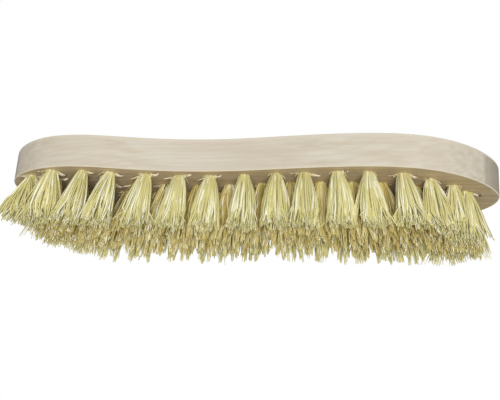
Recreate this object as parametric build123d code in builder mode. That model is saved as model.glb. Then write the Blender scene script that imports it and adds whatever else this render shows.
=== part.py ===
from build123d import *
from math import atan, cos, hypot, pi, sin, sqrt, tan
import os

os.makedirs("parts", exist_ok=True)

# Scrub brush: a one-piece wooden block of S form, drilled from below in five staggered rows.
# Each hole holds a tuft of plant fibre, folded round a flat metal anchor near the hole's bottom.
# Millimetres, +Z up, +X along the block. The brush stands on its trimmed tips at Z = 0,
# with the origin under the middle of the block. Half a turn about Z leaves the brush the same.

# Block
block_length = 220.0
block_width = 62.4
block_thickness = 16.3
top_round = 3.3
underside_ease = 0.4

# Holes, flat at the bottom and fanned out from the middle of the block, their wall in twelve flats
hole_diameter = 4.6
hole_sides = 12
hole_depth = 11.0
lengthwise_fan_radius = 380.0
crosswise_fan_radius = 250.0
end_margin = 13.0
side_margin = 8.0

# Tufts, each a bundle that fills its hole and spreads into strands, one in the middle of a ring
trim_height = 25.0
tuft_clearance = 0.1
neck_length = 1.0
root_gap = 0.3
ring_strands = 5
strand_root_width = 1.05
strand_tip_width = 1.7
strand_inset = 0.12
tip_ring_diameter = 6.0
trim_cut = 0.5

# Anchors, short pieces of flat wire held between the walls of the hole
anchor_thickness = 0.5
anchor_height = 2.2
anchor_fit = 0.02
fold_clearance = 0.05
fold_thickness = 1.6
anchor_turn = 40.0

# How far a cutting body runs past the face that it cuts
overrun = 2.0

# Half of the block's outline, as shares of half its length and half its width.
# The other half is the same line turned half round.
outline_shares = (
    (1.0, 0.14),
    (0.985, 0.435),
    (0.905, 0.77),
    (0.775, 0.97),
    (0.62, 0.99),
    (0.46, 0.905),
    (0.13, 0.82),
    (-0.15, 0.91),
    (-0.46, 1.0),
    (-0.72, 0.885),
    (-0.914, 0.435),
    (-0.985, 0.055),
)

# The field of holes, at stations from the middle to an end, as shares of half its length
# and half its width: how far its middle line swings aside, and how wide it is there.
station_shares = (0.14, 0.28, 0.41, 0.55, 0.70, 0.815, 0.915, 1.0)
swing_shares = (-0.06, -0.08, -0.065, -0.04, 0.05, 0.20, 0.33, 0.46)
spread_shares = (0.885, 0.91, 0.96, 0.99, 1.0, 0.89, 0.73, 0.37)
waist_share = 0.87

# How far each row lies from the field's middle line, as a share of the field's spread there
outer_row_spread_share = 1.0
inner_row_spread_share = 0.46

# Where the tufts stand along each row, as shares of the row's length.
# The middle row's are those of its left half and its middle, since its right half matches.
outer_row_shares = (
    0.0, 0.063, 0.131, 0.19, 0.268, 0.34, 0.407, 0.482,
    0.551, 0.61, 0.678, 0.743, 0.812, 0.876, 0.935, 0.98,
)
inner_row_shares = (
    0.049, 0.109, 0.17, 0.233, 0.302, 0.374, 0.448,
    0.524, 0.589, 0.654, 0.722, 0.787, 0.859, 0.931,
)
left_middle_row_shares = (0.015, 0.078, 0.141, 0.206, 0.277, 0.353, 0.427, 0.5)

half_length = block_length / 2
half_width = block_width / 2
field_half_length = half_length - end_margin
field_half_width = half_width - side_margin
hole_radius = hole_diameter / 2
hole_flat_radius = hole_radius * cos(pi / hole_sides)
bundle_radius = hole_radius - tuft_clearance
bundle_flat_radius = bundle_radius * cos(pi / hole_sides)
anchor_width = 2 * (hole_flat_radius - anchor_fit)
anchor_level = hole_depth - root_gap - fold_thickness - anchor_height / 2
root_ring_reach = bundle_flat_radius - strand_inset
root_ring_radius = sqrt(root_ring_reach**2 - (strand_root_width / 2) ** 2) - strand_root_width / 2
tip_ring_radius = tip_ring_diameter / 2


def row_line(share):
    # One row's line, from the left end to the right, share being -1 at the front and 1 at the back
    right = [
        (station * field_half_length, (swing + share * spread) * field_half_width)
        for station, swing, spread in zip(station_shares, swing_shares, spread_shares)
    ]
    left = [
        (-station * field_half_length, (-swing + share * spread) * field_half_width)
        for station, swing, spread in zip(station_shares, swing_shares, spread_shares)
    ]
    middle = (0, share * waist_share * field_half_width)
    return Edge.make_spline([Vector(*point) for point in left[::-1] + [middle] + right])


def hole_plane(point):
    # The plane at a hole's mouth, square to the hole, whose normal points into the block
    axis = Vector(-point.X / lengthwise_fan_radius, -point.Y / crosswise_fan_radius, 1)
    mouth = Vector(point.X, point.Y, trim_height)
    across = axis.cross(Vector(1, 0, 0))
    anchor_line = across.cross(axis).rotate(Axis(Vector(), axis), anchor_turn)
    return Plane(mouth, x_dir=anchor_line, z_dir=axis)


def row_planes(share, places):
    line = row_line(share)
    return [hole_plane(line @ place) for place in places]


def turned(planes):
    # The same holes after half a turn about Z
    return [hole_plane(Vector(-plane.origin.X, -plane.origin.Y)) for plane in planes[::-1]]


middle_row_shares = [*left_middle_row_shares, *(1 - share for share in left_middle_row_shares[-2::-1])]

front_row = row_planes(-outer_row_spread_share, outer_row_shares)
second_row = row_planes(-inner_row_spread_share, inner_row_shares)
middle_row = row_planes(0, middle_row_shares)
fourth_row = turned(second_row)
back_row = turned(front_row)
all_holes = front_row + second_row + middle_row + fourth_row + back_row

# A strand is as long as the steepest one needs to pass the trimmed tips
steepest = max(
    atan(hypot(plane.origin.X / lengthwise_fan_radius, plane.origin.Y / crosswise_fan_radius))
    for plane in all_holes
)
strand_reach = trim_height / cos(steepest) + (tip_ring_radius + strand_tip_width) * tan(steepest) + trim_cut

# The body that cuts a hole
with BuildPart() as drill:
    with BuildSketch(Plane.XY.offset(-overrun)):
        RegularPolygon(hole_radius, hole_sides, rotation=180 / hole_sides)
    extrude(amount=overrun + hole_depth)

# Block
with BuildPart() as block:
    with BuildSketch(Plane.XY.offset(trim_height)):
        with BuildLine():
            half_outline = [(x * half_length, y * half_width) for x, y in outline_shares]
            other_half = [(-x, -y) for x, y in half_outline]
            Spline(*half_outline, *other_half, periodic=True)
        make_face()
    extrude(amount=block_thickness)
    fillet(block.edges().group_by(Axis.Z)[-1], radius=top_round)
    chamfer(block.edges().group_by(Axis.Z)[0], length=underside_ease)
    with Locations(*all_holes):
        add(drill, mode=Mode.SUBTRACT)
block.part.label = "block"
export_step(block.part, "parts/block.step")

# Anchors
with BuildPart() as anchors:
    with Locations(*[plane.offset(anchor_level) for plane in all_holes]):
        Box(anchor_width, anchor_thickness, anchor_height)
anchors.part.label = "anchors"
export_step(anchors.part, "parts/anchors.step")

# One untrimmed strand along Y, from its root outwards
strand_flare = (strand_tip_width - strand_root_width) / 2
with BuildPart() as strand_form:
    Wedge(
        strand_root_width,
        strand_reach,
        strand_root_width,
        -strand_flare,
        -strand_flare,
        strand_root_width + strand_flare,
        strand_root_width + strand_flare,
        rotation=(90, 0, 0),
        align=(Align.CENTER, Align.MIN, Align.CENTER),
    )


def strand_plane(spread, turn):
    # Where a strand starts and which way it points: spread is 0 in the middle and 1 in the ring
    outward = Vector(cos(turn), sin(turn)) * spread
    root = outward * root_ring_radius
    tip = outward * tip_ring_radius - Vector(0, 0, strand_reach)
    return Plane(root, x_dir=(-sin(turn), cos(turn)), z_dir=tip - root)


# One untrimmed tuft, its mouth plane at Z = 0 and its root above
with BuildPart() as tuft_form:
    with BuildSketch(Plane.XY.offset(-neck_length)):
        RegularPolygon(bundle_radius, hole_sides, rotation=180 / hole_sides)
    extrude(amount=neck_length + hole_depth - root_gap)
    with Locations((0, 0, anchor_level)):
        Box(
            hole_diameter,
            anchor_thickness + 2 * fold_clearance,
            anchor_height + 2 * fold_clearance,
            mode=Mode.SUBTRACT,
        )
    with Locations(*[strand_plane(min(i, 1), 2 * pi * i / ring_strands) for i in range(ring_strands + 1)]):
        add(strand_form)


def write_tufts(name, planes):
    # The tufts of these holes as one node, each a solid of its own, cut flat at the tips
    with BuildPart() as tufts:
        with Locations(*planes):
            add(tuft_form)
        split(bisect_by=Plane.XY, keep=Keep.TOP)
    tufts.part.label = name
    export_step(tufts.part, f"parts/{name}.step")


# Tufts: the outer rows and the middle row piece by piece, the rows between as one node each
for row_name, row in (("front", front_row), ("middle", middle_row), ("back", back_row)):
    for number, plane in enumerate(row, start=1):
        write_tufts(f"{row_name}_tuft_{number:02d}", [plane])
write_tufts("second_row_tufts", second_row)
write_tufts("fourth_row_tufts", fourth_row)
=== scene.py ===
import math
import random

import bmesh
import bpy
import numpy as np
from mathutils import Matrix, Vector


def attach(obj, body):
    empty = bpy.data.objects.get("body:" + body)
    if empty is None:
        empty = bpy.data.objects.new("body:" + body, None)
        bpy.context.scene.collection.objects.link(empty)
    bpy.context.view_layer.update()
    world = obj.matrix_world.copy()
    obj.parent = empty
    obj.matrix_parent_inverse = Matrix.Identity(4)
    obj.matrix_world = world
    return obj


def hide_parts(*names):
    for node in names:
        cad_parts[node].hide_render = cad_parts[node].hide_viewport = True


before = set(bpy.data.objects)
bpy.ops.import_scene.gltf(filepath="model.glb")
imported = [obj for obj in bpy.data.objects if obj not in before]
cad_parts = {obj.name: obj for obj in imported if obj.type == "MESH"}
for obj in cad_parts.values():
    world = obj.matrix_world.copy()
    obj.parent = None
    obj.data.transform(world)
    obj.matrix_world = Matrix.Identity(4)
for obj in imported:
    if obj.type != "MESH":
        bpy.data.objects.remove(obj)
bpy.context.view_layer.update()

mm = 0.001
collection = bpy.context.scene.collection

cameraSet = {
    "place": (0.064751, -0.373553, -0.121923),  # low, in front of the brush, looking up at its tips
    "turn": (110.778, -3.648, 8.578),  # degrees
    "sensor": 36.0,
    "lens": 64.41,
    "shift": 0.0028,
    "nearest": 10 * mm,
}


def makeCamera(look):
    data = bpy.data.cameras.new("brushCamera")
    data.sensor_width = look["sensor"]
    data.lens = look["lens"]
    data.shift_x = look["shift"]
    data.clip_start = look["nearest"]
    camera = bpy.data.objects.new("brushCamera", data)
    camera.location = look["place"]
    camera.rotation_euler = [math.radians(angle) for angle in look["turn"]]
    collection.objects.link(camera)
    bpy.context.scene.camera = camera


makeCamera(cameraSet)
print("camera set")


# small helpers for node trees
def addNode(tree, kind, **values):
    node = tree.nodes.new(kind)
    for name, value in values.items():
        setattr(node, name, value)
    return node


def newMaterial(name):
    material = bpy.data.materials.new(name)
    material.use_nodes = True
    tree = material.node_tree
    tree.nodes.clear()
    shader = addNode(tree, "ShaderNodeBsdfPrincipled")
    output = addNode(tree, "ShaderNodeOutputMaterial")
    tree.links.new(shader.outputs["BSDF"], output.inputs["Surface"])
    return material, tree, shader


def feed(tree, socket, value):
    # a number, a colour or what another node gives
    if isinstance(value, (int, float)):
        socket.default_value = value
    elif isinstance(value, tuple):
        socket.default_value = (*value, 1.0)
    else:
        tree.links.new(value, socket)


def compute(tree, operation, first, second=0.0):
    node = addNode(tree, "ShaderNodeMath", operation=operation)
    feed(tree, node.inputs[0], first)
    feed(tree, node.inputs[1], second)
    return node.outputs[0]


def spread(tree, value, start, end, low=0.0, high=1.0):
    # low up to start, high from end on, evenly between
    node = addNode(tree, "ShaderNodeMapRange")
    for name, number in (("From Min", start), ("From Max", end), ("To Min", low), ("To Max", high)):
        node.inputs[name].default_value = number
    tree.links.new(value, node.inputs["Value"])
    return node.outputs["Result"]


def noiseAt(tree, point, scale, detail=2.0, rough=0.5):
    node = addNode(tree, "ShaderNodeTexNoise")
    node.inputs["Scale"].default_value = scale
    node.inputs["Detail"].default_value = detail
    node.inputs["Roughness"].default_value = rough
    tree.links.new(point, node.inputs["Vector"])
    return node.outputs["Fac"]


def ramp(tree, factor, stops, colours):
    node = addNode(tree, "ShaderNodeValToRGB")
    elements = node.color_ramp.elements
    while len(elements) < len(stops):
        elements.new(0.5)  # placed below
    for element, stop, colour in zip(elements, stops, colours):
        element.position = stop
        element.color = (*colour, 1.0)
    tree.links.new(factor, node.inputs["Fac"])
    return node.outputs["Color"]


def mixColour(tree, factor, first, second):
    node = addNode(tree, "ShaderNodeMix", data_type="RGBA")
    for number, value in ((0, factor), (6, first), (7, second)):
        feed(tree, node.inputs[number], value)
    return node.outputs[2]


def asLinear(red, green, blue):
    # a colour read in a picture, 0 to 255, taken through the sRGB curve to what Blender keeps
    parts = [value / 255 for value in (red, green, blue)]
    return tuple(v / 12.92 if v <= 0.04045 else ((v + 0.055) / 1.055) ** 2.4 for v in parts)


def dress(nodeName, material):
    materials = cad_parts[nodeName].data.materials
    materials.clear()
    materials.append(material)


# a noise is its stretch along each axis, per metre, its detail and its roughness
grainLook = {
    "turn": 0.09,  # the board was sawn a little across its grain, radians
    "heart": (18 * mm, 35 * mm),  # the rings' middle lies so far in front of the origin and below it
    "ringPitch": 2.4 * mm,
    "ringPower": 5.0,  # thin late wood, wide early wood
    "drift": 22 * mm,  # how far a noise pushes the rings about
    "driftNoise": ((9.0, 40.0, 40.0), 2.0, 0.5),
    "streakNoise": ((18.0, 420.0, 420.0), 4.0, 0.55),
    "cloudNoise": ((22.0, 50.0, 50.0), 2.0, 0.5),
    "fineNoise": ((140.0, 2400.0, 2400.0), 2.0, 0.5),
    "fleckFrom": (0.66, 0.76),  # of the fine noise
    "heightShares": (0.6, 0.4),  # of the streaks and of the fine noise
}


def grainGroup(look):
    # rings, streaks, clouds and flecks that run along X, read from a point in metres
    group = bpy.data.node_groups.new("woodGrain", "ShaderNodeTree")
    group.interface.new_socket("Point", in_out="INPUT", socket_type="NodeSocketVector")
    start = addNode(group, "NodeGroupInput")

    def turned(turn, scale=(1.0, 1.0, 1.0)):
        mapping = addNode(group, "ShaderNodeMapping")
        mapping.inputs["Scale"].default_value = scale
        mapping.inputs["Rotation"].default_value = (0.0, turn, 0.0)
        group.links.new(start.outputs["Point"], mapping.inputs["Vector"])
        return mapping.outputs["Vector"]

    def stretched(noise, turn):
        scale, detail, rough = noise
        return noiseAt(group, turned(turn, scale), 1.0, detail, rough)

    drift = stretched(look["driftNoise"], look["turn"])
    split = addNode(group, "ShaderNodeSeparateXYZ")
    group.links.new(turned(look["turn"]), split.inputs["Vector"])
    forward, below = look["heart"]
    across = compute(group, "POWER", compute(group, "ADD", split.outputs["Y"], forward), 2.0)
    upward = compute(group, "POWER", compute(group, "ADD", split.outputs["Z"], below), 2.0)
    radius = compute(group, "SQRT", compute(group, "ADD", across, upward))
    bent = compute(group, "ADD", radius, compute(group, "MULTIPLY", drift, look["drift"]))
    wave = compute(group, "SINE", compute(group, "MULTIPLY", bent, 2 * math.pi / look["ringPitch"]))
    rings = compute(group, "POWER", spread(group, wave, -1.0, 1.0), look["ringPower"])

    streaks = stretched(look["streakNoise"], look["turn"])
    fine = stretched(look["fineNoise"], look["turn"])
    streakShare, fineShare = look["heightShares"]
    coarse = compute(group, "MULTIPLY", streaks, streakShare)
    results = {
        "Rings": rings,
        "Streaks": streaks,
        "Clouds": stretched(look["cloudNoise"], 0.0),
        "Flecks": spread(group, fine, *look["fleckFrom"]),
        "Height": compute(group, "ADD", coarse, compute(group, "MULTIPLY", fine, fineShare)),
    }
    for name in results:
        group.interface.new_socket(name, in_out="OUTPUT", socket_type="NodeSocketFloat")
    end = addNode(group, "NodeGroupOutput")
    for name, value in results.items():
        group.links.new(value, end.inputs[name])
    return group


woodLook = {
    "streakStops": (0.34, 0.62),
    "streakColours": (asLinear(193, 182, 162), asLinear(206, 199, 184)),
    # what lies over the streaks, in this order: its colour, where its share
    # starts to grow and has grown, and how much it covers then
    "clouds": (asLinear(199, 187, 170), 0.42, 0.66, 0.5),
    "rings": (asLinear(188, 176, 153), 0.0, 1.0, 0.3),
    "flecks": (asLinear(176, 160, 132), 0.0, 1.0, 0.5),
    # painted shade: a darker band where the wall turns towards each end
    "turnedEndShade": (asLinear(128, 118, 101), 0.765, 0.795, 0.4),
    # the end faces darker: partly end grain, partly painted shade
    "endGrainAndShade": (asLinear(128, 118, 101), 0.8, 0.97, 0.6),
    # painted highlight: the top face and the upper rounding paler
    "paintedTopHighlight": (asLinear(216, 207, 186), 0.05, 0.5, 0.6),
    "paintedEdgeHighlight": (asLinear(216, 207, 186), -0.4, -0.65, 0.6),  # painted highlight along the eased edge below
    # the drilled side, darker and warmer: partly rough wood, partly painted shade
    "rawAndShadeStops": (0.36, 0.6),
    "rawAndShadeColours": (asLinear(177, 156, 119), asLinear(193, 174, 140)),
    "rawAndShadeFrom": (-0.8, -0.95),
    "rough": (0.6, 0.78),
    "shine": 0.3,
    "bump": 0.1 * mm,
    "bumpStrength": 0.6,
}


def woodMaterial(look, grain):
    material, tree, shader = newMaterial("paleWood")
    place = addNode(tree, "ShaderNodeTexCoord")
    group = addNode(tree, "ShaderNodeGroup", node_tree=grain)
    tree.links.new(place.outputs["Object"], group.inputs["Point"])
    streaks = group.outputs["Streaks"]
    face = addNode(tree, "ShaderNodeNewGeometry")
    split = addNode(tree, "ShaderNodeSeparateXYZ")
    tree.links.new(face.outputs["Normal"], split.inputs["Vector"])
    endward = compute(tree, "ABSOLUTE", split.outputs["X"])
    upward = split.outputs["Z"]

    colour = ramp(tree, streaks, look["streakStops"], look["streakColours"])
    for name, value in (
        ("clouds", group.outputs["Clouds"]),
        ("rings", group.outputs["Rings"]),
        ("flecks", group.outputs["Flecks"]),
        ("turnedEndShade", endward),
        ("endGrainAndShade", endward),
        ("paintedTopHighlight", upward),
        ("paintedEdgeHighlight", upward),
    ):
        tint, start, end, share = look[name]
        colour = mixColour(tree, spread(tree, value, start, end, high=share), colour, tint)
    # the underside: partly rough wood, partly painted shade
    rawAndShade = ramp(tree, streaks, look["rawAndShadeStops"], look["rawAndShadeColours"])
    colour = mixColour(tree, spread(tree, upward, *look["rawAndShadeFrom"]), colour, rawAndShade)
    tree.links.new(colour, shader.inputs["Base Color"])

    tree.links.new(spread(tree, streaks, 0.0, 1.0, *look["rough"]), shader.inputs["Roughness"])
    bump = addNode(tree, "ShaderNodeBump")
    bump.inputs["Strength"].default_value = look["bumpStrength"]
    bump.inputs["Distance"].default_value = look["bump"]
    tree.links.new(group.outputs["Height"], bump.inputs["Height"])
    tree.links.new(bump.outputs["Normal"], shader.inputs["Normal"])
    shader.inputs["Specular IOR Level"].default_value = look["shine"]
    return material


dress("block", woodMaterial(woodLook, grainGroup(grainLook)))
print("wood done")

wireLook = {
    "noiseScale": 900.0,
    "stops": (0.35, 0.65),
    "colours": (asLinear(132, 130, 126), asLinear(168, 166, 160)),
    "rough": 0.42,
}


def wireMaterial(look):
    material, tree, shader = newMaterial("anchorWire")
    place = addNode(tree, "ShaderNodeTexCoord")
    noise = noiseAt(tree, place.outputs["Object"], look["noiseScale"])
    tree.links.new(ramp(tree, noise, look["stops"], look["colours"]), shader.inputs["Base Color"])
    shader.inputs["Metallic"].default_value = 1.0
    shader.inputs["Roughness"].default_value = look["rough"]
    return material


dress("anchors", wireMaterial(wireLook))
print("anchors done")

# how the tufts' solids are read
solidLook = {
    "rootCorners": 12,  # a tuft's highest corners lie round its root
    "tipLevel": 0.05 * mm,  # corners lower than this are at its tips
    "joined": 0.001 * mm,  # corners nearer than this are one
    "mouthLevel": 25 * mm,  # the drilled side of the block
}


def islandsOf(bm):
    # the corners of one tuft after the other, always in the same order
    seen = set()
    for first in bm.verts:
        if first in seen:
            continue
        seen.add(first)
        island = [first]
        for vert in island:
            for link in vert.link_edges:
                other = link.other_vert(vert)
                if other not in seen:
                    seen.add(other)
                    island.append(other)
        yield island


def tuftsOf(nodeName, look):
    # root and direction of each tuft in a CAD node
    bm = bmesh.new()
    bm.from_mesh(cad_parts[nodeName].data)
    bmesh.ops.remove_doubles(bm, verts=bm.verts, dist=look["joined"])
    found = []
    for island in islandsOf(bm):
        places = sorted((vert.co.copy() for vert in island), key=lambda place: -place.z)
        root = sum(places[:look["rootCorners"]], Vector()) / look["rootCorners"]
        tips = [place for place in places if place.z < look["tipLevel"]]
        tip = sum(tips, Vector()) / len(tips)
        found.append((root, (tip - root).normalized()))
    bm.free()
    return sorted(found, key=lambda tuft: tuft[0].x)


def mouthOf(root, lean):
    # where a tuft leaves its hole
    return root + lean * ((solidLook["mouthLevel"] - root.z) / lean.z)


def upToMiddle(place):
    # the middle tuft lies at zero but for rounding, and counts as left and front in every run
    return round(place / mm, 3) <= 0


fibreLook = {
    "count": 198,  # in one tuft
    "thickness": 0.64 * mm,
    "thickShares": (0.7, 1.3),  # from the thinnest fibre to the thickest
    "unevenness": (0.9, 1.1),  # the same from ring to ring
    "profile": (0.9, 1.0, 1.2, 1.3, 1.35, 1.25, 0.7),  # how thick it is at each ring, hole to tip
    "ringPower": 1.3,  # over 1 the rings lie closer together near the hole
    "inside": 4.0 * mm,  # how far up the hole a fibre starts
    "rootRadius": 2.0 * mm,
    "tipRadius": 6.7 * mm,
    "crowding": 0.46,  # under 0.5 more fibres lie at the outside of the tuft
    "opening": 0.8,  # under 1 the tuft opens quickly below its hole, like a dome
    "locks": 24,  # the tips draw together in small pointed locks
    "lockLean": 0.7 * mm,
    "lockTones": (0.38, 0.45, 0.5, 0.6, 0.7, 0.8),
    "gather": (0.74, 0.46),  # from which share of the length, and how tightly
    "gatherPower": 1.2,
    "looseLocks": 1,  # so many stand off beside the tuft and gather early
    "looseReach": 1.22,
    "looseGather": (0.05, 0.9),
    "ownTone": 0.18,  # the share of a fibre's tone that isn't its lock's
    "ownLean": 0.4 * mm,
    "bow": 0.4 * mm,
    "wave": 0.35,  # next to the bow
    # how far above the floor the tips end, then what a lock and a fibre may add, most of them little
    "trimLevel": 0.15 * mm,
    "lockTrim": 2.0 * mm,
    "lockTrimPower": 2,
    "ownTrim": 1.9 * mm,
    "ownTrimPower": 1.3,
    "strayShare": 0.04,
    "strayLean": 2.6 * mm,
    "fieldEnd": 97 * mm,  # from the middle to the outermost hole
    # the end tufts: from which share of the length, how far all fibres lean along X,
    # how far a few lean more, and how much higher the tips of those few end
    "leftEnd": (0.7, 9.0 * mm, -13.0 * mm, 2.5 * mm),
    "rightEnd": (0.78, -6.4 * mm, 5.5 * mm, 0.0),
    "fewPower": 3,  # the higher, the fewer
    "leanPower": 1.1,
    "endCount": 60,  # so many more fibres in the last tuft
    # worn shorter towards both ends: from here on, fully from there on, by so much
    "leftWear": (75 * mm, 95 * mm, 1.4 * mm),
    "rightWear": (52 * mm, 72 * mm, 1.8 * mm),
    "reach": (115.5 * mm, 33.0 * mm),  # a tip further out is drawn back
    "drawnBack": (1.0, 1.1),
    # short loose ends round the hole
    "rootHairs": 9,
    "hairLength": 2.6 * mm,
    "hairDrop": (0.2, 0.9),
    "hairReach": (0.3, 1.0),
    "hairPowers": (0.7, 1.5),  # outwards first, then down
    # painted shade: many loose ends take the darkest tones, a dark ring round each hole mouth
    "hairShadeTone": (-0.2, 0.3),
    "hairThickness": 0.4,
    # each strip of the map: where it starts in its cell and how much it fills, lengthwise and across
    "columns": 8,
    "stripLength": (0.05, 0.9),
    "stripWidth": (0.12, 0.76),
}
# the rows behind the front one are more worn, in fewer, tighter and more uneven locks
wornLook = {
    **fibreLook,
    "count": 165,
    "looseLocks": 2,
    "profile": (0.9, 1.0, 1.15, 1.25, 1.3, 1.15, 0.5),
    "locks": 20,
    "lockLean": 0.9 * mm,
    # painted shade: tones 0 and 0.1 give whole locks the dark of the gaps between rows
    "lockTones": (0.0, 0.1, 0.4, 0.55, 0.7, 0.9),
    "gather": (0.4, 0.9),
    "lockTrim": 4.8 * mm,
}


def inDisc(chance, power=0.5):
    angle = chance.uniform(0, 2 * math.pi)
    return Vector((math.cos(angle), math.sin(angle))) * chance.random() ** power


def scattered(chance, size):
    return Vector((chance.gauss(0, size), chance.gauss(0, size)))


def reached(value, start, end):
    # 0 up to start, 1 from end on, evenly between
    return min(1.0, max(0.0, (value - start) / (end - start)))


def ringShares(look):
    # where along a fibre's free length its rings lie, from the hole to the tip
    steps = len(look["profile"]) - 2
    return [(step / steps) ** look["ringPower"] for step in range(steps + 1)]


def makeLocks(look, chance):
    locks = []
    for number in range(look["locks"]):
        loose = number < look["looseLocks"]
        locks.append({
            "spot": inDisc(chance, 0.0) * look["looseReach"] if loose else inDisc(chance),
            "gather": look["looseGather"] if loose else look["gather"],
            "lean": scattered(chance, look["lockLean"]),
            "lift": look["lockTrim"] * chance.random() ** look["lockTrimPower"],
            "tone": chance.choice(look["lockTones"]),
        })
    return locks


def tuftFibres(root, lean, look, chance):
    # one tuft's fibres: for each its points, from inside the hole to its tip, its tone and its thickness
    mouth = mouthOf(root, lean)
    locks = makeLocks(look, chance)
    shares = ringShares(look)
    left = upToMiddle(mouth.x)
    endShare, allAside, fewAside, fewLift = look["leftEnd"] if left else look["rightEnd"]
    atEnd = reached(abs(mouth.x) / look["fieldEnd"], endShare, 1.0)
    wearStart, wearEnd, wear = look["leftWear"] if left else look["rightWear"]
    worn = wear * reached(abs(mouth.x), wearStart, wearEnd)
    for _ in range(look["count"] + round(atEnd * look["endCount"])):
        spot = inDisc(chance, look["crowding"])
        lock = min(locks, key=lambda one: (one["spot"] - spot).length)
        start = spot * look["rootRadius"]
        free = spot * look["tipRadius"]
        gatherStart, gather = lock["gather"]
        end = free.lerp(lock["spot"] * look["tipRadius"], gather)
        end += lock["lean"] + scattered(chance, look["ownLean"])
        if chance.random() < look["strayShare"]:
            end += scattered(chance, look["strayLean"])
        few = chance.random() ** look["fewPower"]
        aside = Vector((atEnd * (allAside + fewAside * few), 0.0))
        bow = scattered(chance, look["bow"])
        wave = scattered(chance, look["bow"] * look["wave"])
        tipLevel = look["trimLevel"] + worn + lock["lift"]
        tipLevel += look["ownTrim"] * chance.random() ** look["ownTrimPower"]
        tipLevel += atEnd * fewLift * few * few
        length = (tipLevel - solidLook["mouthLevel"]) / lean.z
        tip = mouth + lean * length + (end + aside).to_3d()
        outermost = max(abs(tip.x) / look["reach"][0], abs(tip.y) / look["reach"][1])
        if outermost > 1.0:
            end += (tip.xy / outermost - tip.xy) * chance.uniform(*look["drawnBack"])
        points = [mouth - lean * look["inside"] + start.to_3d()]
        for share in shares:
            across = start.lerp(free, share ** look["opening"])
            pull = reached(share, gatherStart, 1.0) ** look["gatherPower"]
            across = across.lerp(end, pull) + aside * share ** look["leanPower"]
            across += bow * math.sin(math.pi * share) + wave * math.sin(2 * math.pi * share)
            points.append(mouth + lean * (length * share) + across.to_3d())
        tone = (1 - look["ownTone"]) * lock["tone"] + look["ownTone"] * chance.random()
        yield points, tone, chance.uniform(*look["thickShares"])
    yield from rootHairs(mouth, lean, look, chance)


def rootHairs(mouth, lean, look, chance):
    outPower, dropPower = look["hairPowers"]
    for _ in range(look["rootHairs"]):
        around = inDisc(chance, 0.0)
        start = around * look["rootRadius"]
        drop = lean * look["hairLength"] * chance.uniform(*look["hairDrop"])
        out = around * look["hairLength"] * chance.uniform(*look["hairReach"])
        points = [mouth - lean * look["inside"] + start.to_3d()]
        for share in ringShares(look):
            points.append(mouth + (start + out * share**outPower).to_3d() + drop * share**dropPower)
        yield points, chance.uniform(*look["hairShadeTone"]), look["hairThickness"]


def bevelled(name, fibres, look, chance):
    # the fibres as one mesh, each a four-sided tube with both ends closed
    curve = bpy.data.curves.new(name + "Lines", "CURVE")
    curve.dimensions = "3D"
    curve.bevel_depth = look["thickness"] / 2
    curve.bevel_resolution = 0
    curve.use_fill_caps = True
    for points, _, thick in fibres:
        spline = curve.splines.new("POLY")
        spline.points.add(len(points) - 1)
        for place, share, point in zip(points, look["profile"], spline.points):
            point.co = (*place, 1.0)
            point.radius = thick * share * chance.uniform(*look["unevenness"])
    lines = bpy.data.objects.new(name + "Lines", curve)
    collection.objects.link(lines)
    bpy.context.view_layer.update()
    shaped = lines.evaluated_get(bpy.context.evaluated_depsgraph_get())
    mesh = bpy.data.meshes.new_from_object(shaped)
    mesh.name = name
    bpy.data.objects.remove(lines)
    bpy.data.curves.remove(curve)
    return mesh


def addStrawRuns(mesh, fibres, look):
    # Tones, the share along the straw and the strips of the piece's own map are dealt out to the corners in
    # runs, one for each fibre and as long as one, in the order of the mesh. A run has a step for each ring, a
    # corner wider than the ring, because the closed ends count in it. They all come first in the mesh, so the
    # runs are out of step with the fibres: on most of them the straw starts anew somewhere along their
    # length, at another place on each neighbour, and their colours come in patches.
    corners = np.arange(len(mesh.vertices))
    runLength = len(corners) // len(fibres)
    rings = len(look["profile"])
    width = runLength // rings
    run = corners // runLength
    step = corners % runLength // width
    beside = corners % width
    tones = np.array([tone for _, tone, _ in fibres])[run]
    along = (np.maximum(step - 1, 0) / (rings - 2)) ** look["ringPower"]
    for label, values in (("tone", tones), ("along", along)):
        attribute = mesh.attributes.new(label, "FLOAT", "POINT")
        attribute.data.foreach_set("value", values.astype(np.float32))

    columns = look["columns"]
    rows = math.ceil(len(fibres) / columns)
    lengthStart, lengthFill = look["stripLength"]
    widthStart, widthFill = look["stripWidth"]
    lengthwise = (run % columns + lengthStart + lengthFill * step / (rings - 1)) / columns
    fold = np.abs(beside - width / 2) / (width / 2)
    sideways = (run // columns + widthStart + widthFill * fold) / rows
    used = np.empty(len(mesh.loops), np.int32)
    mesh.loops.foreach_get("vertex_index", used)
    strips = np.stack([lengthwise[used], sideways[used]], 1).astype(np.float32)
    mesh.uv_layers.new(name="OFBake").data.foreach_set("uv", strips.ravel())


def smooth(mesh):
    mesh.polygons.foreach_set("use_smooth", np.ones(len(mesh.polygons), bool))


def fibreMesh(name, tufts, look, seed):
    chance = random.Random(seed)
    fibres = [fibre for root, lean in tufts for fibre in tuftFibres(root, lean, look, chance)]
    mesh = bevelled(name, fibres, look, chance)
    addStrawRuns(mesh, fibres, look)
    smooth(mesh)
    print(name, len(fibres), "fibres", len(mesh.polygons), "faces")
    return mesh


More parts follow.
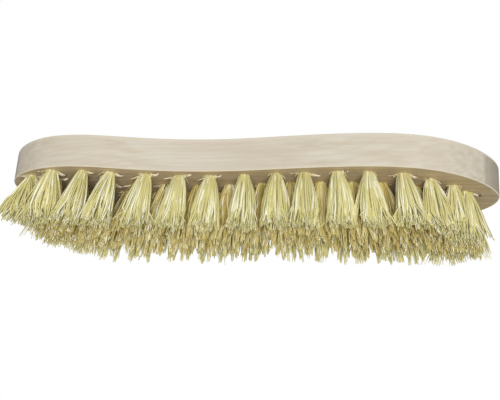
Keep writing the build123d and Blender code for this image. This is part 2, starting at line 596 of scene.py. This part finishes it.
strawStops = (0.05, 0.2, 0.4, 0.62, 0.9)
outerStraw = {
    "colours": (  # one for each of the stops
        asLinear(176, 163, 96),
        asLinear(206, 197, 132),
        asLinear(212, 203, 140),
        asLinear(222, 215, 156),
        asLinear(236, 232, 188),
    ),
    "shaft": asLinear(208, 199, 134),
    "shaftShare": 0.6,
    "shaftFrom": (0.9, 0.6),  # where along the straw this colour starts and is full, counted back
    "tip": asLinear(242, 239, 212),
    "tipShare": 0.95,
    "tipFrom": (0.48, 0.84),  # where along the straw it turns paler: partly fresh cut ends, partly painted highlight
    "freshHighlightFrom": (0.3, 0.48),  # the darkest straw doesn't turn paler
    "patchShare": 0.25,  # of the noise in the tone
    "patches": (9.0, 431.0),  # how often it changes along the straw, and from tone to tone
    "patchDetail": 3.0,
    "rough": (0.5, 0.72),
    "shine": 0.35,
}
# painted shade for the rows inside the brush: a near-black lowest stop and a darker, warmer shaft
innerStrawShaded = {
    **outerStraw,
    "colours": (
        asLinear(84, 70, 30),
        asLinear(168, 152, 84),
        asLinear(232, 226, 162),
        asLinear(242, 239, 190),
        asLinear(248, 246, 212),
    ),
    "shaft": asLinear(210, 187, 104),
    "shaftShare": 0.64,
    "tip": asLinear(253, 251, 226),
    "tipShare": 1.0,
    "tipFrom": (0.8, 0.94),
}


def strawMaterial(name, look):
    material, tree, shader = newMaterial(name)
    tone = addNode(tree, "ShaderNodeAttribute", attribute_name="tone").outputs["Fac"]
    along = addNode(tree, "ShaderNodeAttribute", attribute_name="along").outputs["Fac"]
    point = addNode(tree, "ShaderNodeCombineXYZ")
    lengthwise, byTone = look["patches"]
    tree.links.new(compute(tree, "MULTIPLY", along, lengthwise), point.inputs["X"])
    tree.links.new(compute(tree, "MULTIPLY", tone, byTone), point.inputs["Y"])
    noise = noiseAt(tree, point.outputs["Vector"], 1.0, look["patchDetail"])
    even = compute(tree, "MULTIPLY", tone, 1 - look["patchShare"])
    shade = compute(tree, "ADD", even, compute(tree, "MULTIPLY", noise, look["patchShare"]))
    colour = ramp(tree, shade, strawStops, look["colours"])
    shaftward = spread(tree, along, *look["shaftFrom"], high=look["shaftShare"])
    colour = mixColour(tree, shaftward, colour, look["shaft"])
    # paler tips: partly fresh cut ends, partly painted highlight
    tipHighlight = spread(tree, along, *look["tipFrom"], high=look["tipShare"])
    freshHighlight = spread(tree, shade, *look["freshHighlightFrom"])
    colour = mixColour(tree, compute(tree, "MULTIPLY", tipHighlight, freshHighlight), colour, look["tip"])
    tree.links.new(colour, shader.inputs["Base Color"])
    tree.links.new(spread(tree, noise, 0.0, 1.0, *look["rough"]), shader.inputs["Roughness"])
    shader.inputs["Specular IOR Level"].default_value = look["shine"]
    return material


def tuftNodes(row, count):
    return [f"{row}_tuft_{number:02d}" for number in range(1, count + 1)]


outerFibre = strawMaterial("outerFibre", outerStraw)
innerFibreShaded = strawMaterial("innerFibreShaded", innerStrawShaded)
# each row: its CAD nodes, the look of its fibres, their material and the seed of its random draws
rows = {
    "frontFibres": (tuftNodes("front", 16), fibreLook, outerFibre, 11),
    "secondFibres": (["second_row_tufts"], wornLook, innerFibreShaded, 12),
    "middleFibres": (tuftNodes("middle", 15), wornLook, innerFibreShaded, 13),
    "fourthFibres": (["fourth_row_tufts"], wornLook, innerFibreShaded, 14),
    "backFibres": (tuftNodes("back", 16), wornLook, outerFibre, 15),
}
mouths = []
for name, (nodes, look, material, seed) in rows.items():
    tufts = [tuft for node in nodes for tuft in tuftsOf(node, solidLook)]
    mouths += [mouthOf(root, lean) for root, lean in tufts]
    piece = bpy.data.objects.new(name, fibreMesh(name, tufts, look, seed))
    piece.data.materials.append(material)
    collection.objects.link(piece)
    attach(piece, "root")
    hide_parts(*nodes)
print("fibres done")

burrLook = {
    "seed": 5,
    "leftShare": 0.85,  # of the holes on the left half that the drill tore
    "rightShare": 0.15,
    "heading": (-30, 30),  # degrees round the hole
    "step": (0.8 * mm, 1.15 * mm),
    "width": 2.0 * mm,
    "widthShares": (0.75, 1.2),
    "thickness": 0.3 * mm,
    "start": 125,  # degrees from straight up
    "bends": (6, 8, 12, 70, 24, 12),  # degrees; the strip hangs down and folds back up
    "bendShares": (0.8, 1.1),
    "lean": (35, 65),  # degrees, so that its broad side faces outwards
    "taper": 0.8,
    "holeRadius": 2.2 * mm,
    "sliverShare": 0.6,  # of the torn holes that have a straighter strip on their other side
    "sliver": (0.75, 0.5, 0.15),  # its step, width and bends next to those of the burr
    "noiseScale": 700.0,
    "stops": (0.35, 0.6),
    "colours": (asLinear(212, 194, 162), asLinear(230, 219, 194)),
    "rough": 0.75,
}


def addBurr(bm, mouth, heading, lean, step, width, bendShare, look):
    # a strip torn up at a hole's edge, that thins out to a point
    verts = bmesh.ops.create_grid(bm, x_segments=1, y_segments=1, size=0.5)["verts"]
    made = list(verts)
    face = verts[0].link_faces[0]
    bmesh.ops.scale(bm, verts=verts, vec=(look["thickness"], width, 1.0))
    start = Matrix.Rotation(math.radians(look["start"]), 3, "Y")
    bmesh.ops.rotate(bm, verts=verts, cent=(0, 0, 0), matrix=start)
    for bend in look["bends"]:
        grown = bmesh.ops.extrude_face_region(bm, geom=[face])["geom"]
        face = next(part for part in grown if isinstance(part, bmesh.types.BMFace))
        verts = [part for part in grown if isinstance(part, bmesh.types.BMVert)]
        made += verts
        face.normal_update()
        bmesh.ops.translate(bm, verts=verts, vec=face.normal * step)
        middle = face.calc_center_median()
        turn = Matrix.Rotation(-math.radians(bend * bendShare), 3, "Y")
        bmesh.ops.rotate(bm, verts=verts, cent=middle, matrix=turn)
        bmesh.ops.scale(bm, verts=verts, vec=[look["taper"]] * 3, space=Matrix.Translation(-middle))
    tilt = Matrix.Rotation(lean, 4, "X")
    spin = Matrix.Rotation(heading, 4, "Z")
    edge = spin @ Vector((look["holeRadius"], 0.0, 0.0))
    bmesh.ops.transform(bm, matrix=Matrix.Translation(mouth + edge) @ spin @ tilt, verts=made)


def burrMesh(look):
    chance = random.Random(look["seed"])
    stepShare, widthShare, sliverBend = look["sliver"]
    bm = bmesh.new()
    for mouth in mouths:
        torn = chance.random() < (look["leftShare"] if upToMiddle(mouth.x) else look["rightShare"])
        heading = math.radians(chance.uniform(*look["heading"]))
        step = chance.uniform(*look["step"])
        width = look["width"] * chance.uniform(*look["widthShares"])
        lean = math.radians(chance.uniform(*look["lean"])) * (-1 if upToMiddle(mouth.y) else 1)
        if not torn:
            continue
        addBurr(bm, mouth, heading, lean, step, width, chance.uniform(*look["bendShares"]), look)
        if chance.random() < look["sliverShare"]:
            facing = heading + math.pi
            addBurr(bm, mouth, facing, -lean, step * stepShare, width * widthShare, sliverBend, look)
    bmesh.ops.recalc_face_normals(bm, faces=bm.faces)
    mesh = bpy.data.meshes.new("burrs")
    bm.to_mesh(mesh)
    bm.free()
    smooth(mesh)
    return mesh


def tornMaterial(look):
    material, tree, shader = newMaterial("tornWood")
    place = addNode(tree, "ShaderNodeTexCoord")
    noise = noiseAt(tree, place.outputs["Object"], look["noiseScale"])
    tree.links.new(ramp(tree, noise, look["stops"], look["colours"]), shader.inputs["Base Color"])
    shader.inputs["Roughness"].default_value = look["rough"]
    return material


burrs = bpy.data.objects.new("burrs", burrMesh(burrLook))
burrs.data.materials.append(tornMaterial(burrLook))
collection.objects.link(burrs)
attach(burrs, "root")
print("burrs done")

studio = {
    "floor": (0.86, 0.86, 0.86),
    "floorSize": 6.0,
    "around": 0.27,  # light that comes from all sides
    "lamps": {  # place, side, watts
        "key": ((0.3, -1.33, -0.5), 0.6, 19.5),
        "above": ((0.0, 0.05, 1.6), 1.6, 17.0),
    },
}


def makeFloor(look):
    bm = bmesh.new()
    bmesh.ops.create_grid(bm, x_segments=1, y_segments=1, size=look["floorSize"] / 2)
    mesh = bpy.data.meshes.new("floor")
    bm.to_mesh(mesh)
    bm.free()
    floor = bpy.data.objects.new("floor", mesh)
    collection.objects.link(floor)
    material = bpy.data.materials.new("paleFloor")
    material.use_nodes = True
    tree = material.node_tree
    tree.nodes.clear()
    # only the camera sees the floor, and only from above, so that light reaches the tips from all sides
    matte = addNode(tree, "ShaderNodeBsdfDiffuse")
    matte.inputs["Color"].default_value = (*look["floor"], 1.0)
    clear = addNode(tree, "ShaderNodeBsdfTransparent")
    path = addNode(tree, "ShaderNodeLightPath")
    face = addNode(tree, "ShaderNodeNewGeometry")
    unseen = compute(tree, "SUBTRACT", 1.0, path.outputs["Is Camera Ray"])
    mixer = addNode(tree, "ShaderNodeMixShader")
    output = addNode(tree, "ShaderNodeOutputMaterial")
    tree.links.new(compute(tree, "MAXIMUM", unseen, face.outputs["Backfacing"]), mixer.inputs["Fac"])
    tree.links.new(matte.outputs["BSDF"], mixer.inputs[1])
    tree.links.new(clear.outputs["BSDF"], mixer.inputs[2])
    tree.links.new(mixer.outputs["Shader"], output.inputs["Surface"])
    mesh.materials.append(material)


def makeWorld(look):
    world = bpy.data.worlds.new("studio")
    world.use_nodes = True
    tree = world.node_tree
    tree.nodes.clear()
    # white where the camera, a reflection or a clear ray looks at it, dimmer as light
    seen = addNode(tree, "ShaderNodeBackground")
    seen.inputs["Strength"].default_value = 1.0
    seen.inputs["Color"].default_value = (1.0, 1.0, 1.0, 1.0)
    around = addNode(tree, "ShaderNodeBackground")
    around.inputs["Strength"].default_value = look["around"]
    around.inputs["Color"].default_value = (1.0, 1.0, 1.0, 1.0)
    path = addNode(tree, "ShaderNodeLightPath")
    straight = compute(tree, "MAXIMUM", path.outputs["Is Camera Ray"], path.outputs["Is Glossy Ray"])
    straight = compute(tree, "MAXIMUM", straight, path.outputs["Is Transmission Ray"])
    mixer = addNode(tree, "ShaderNodeMixShader")
    output = addNode(tree, "ShaderNodeOutputWorld")
    tree.links.new(straight, mixer.inputs["Fac"])
    tree.links.new(around.outputs["Background"], mixer.inputs[1])
    tree.links.new(seen.outputs["Background"], mixer.inputs[2])
    tree.links.new(mixer.outputs["Shader"], output.inputs["Surface"])
    bpy.context.scene.world = world


def makeLamps(look):
    # each lamp faces the origin
    for name, (place, side, watts) in look["lamps"].items():
        data = bpy.data.lights.new(name, "AREA")
        data.shape = "SQUARE"
        data.size = side
        data.energy = watts
        lamp = bpy.data.objects.new(name, data)
        lamp.location = place
        lamp.rotation_euler = (-Vector(place)).to_track_quat("-Z", "Y").to_euler()
        collection.objects.link(lamp)


makeFloor(studio)
makeWorld(studio)
makeLamps(studio)
bpy.context.scene.view_settings.view_transform = "Standard"
print("studio done")
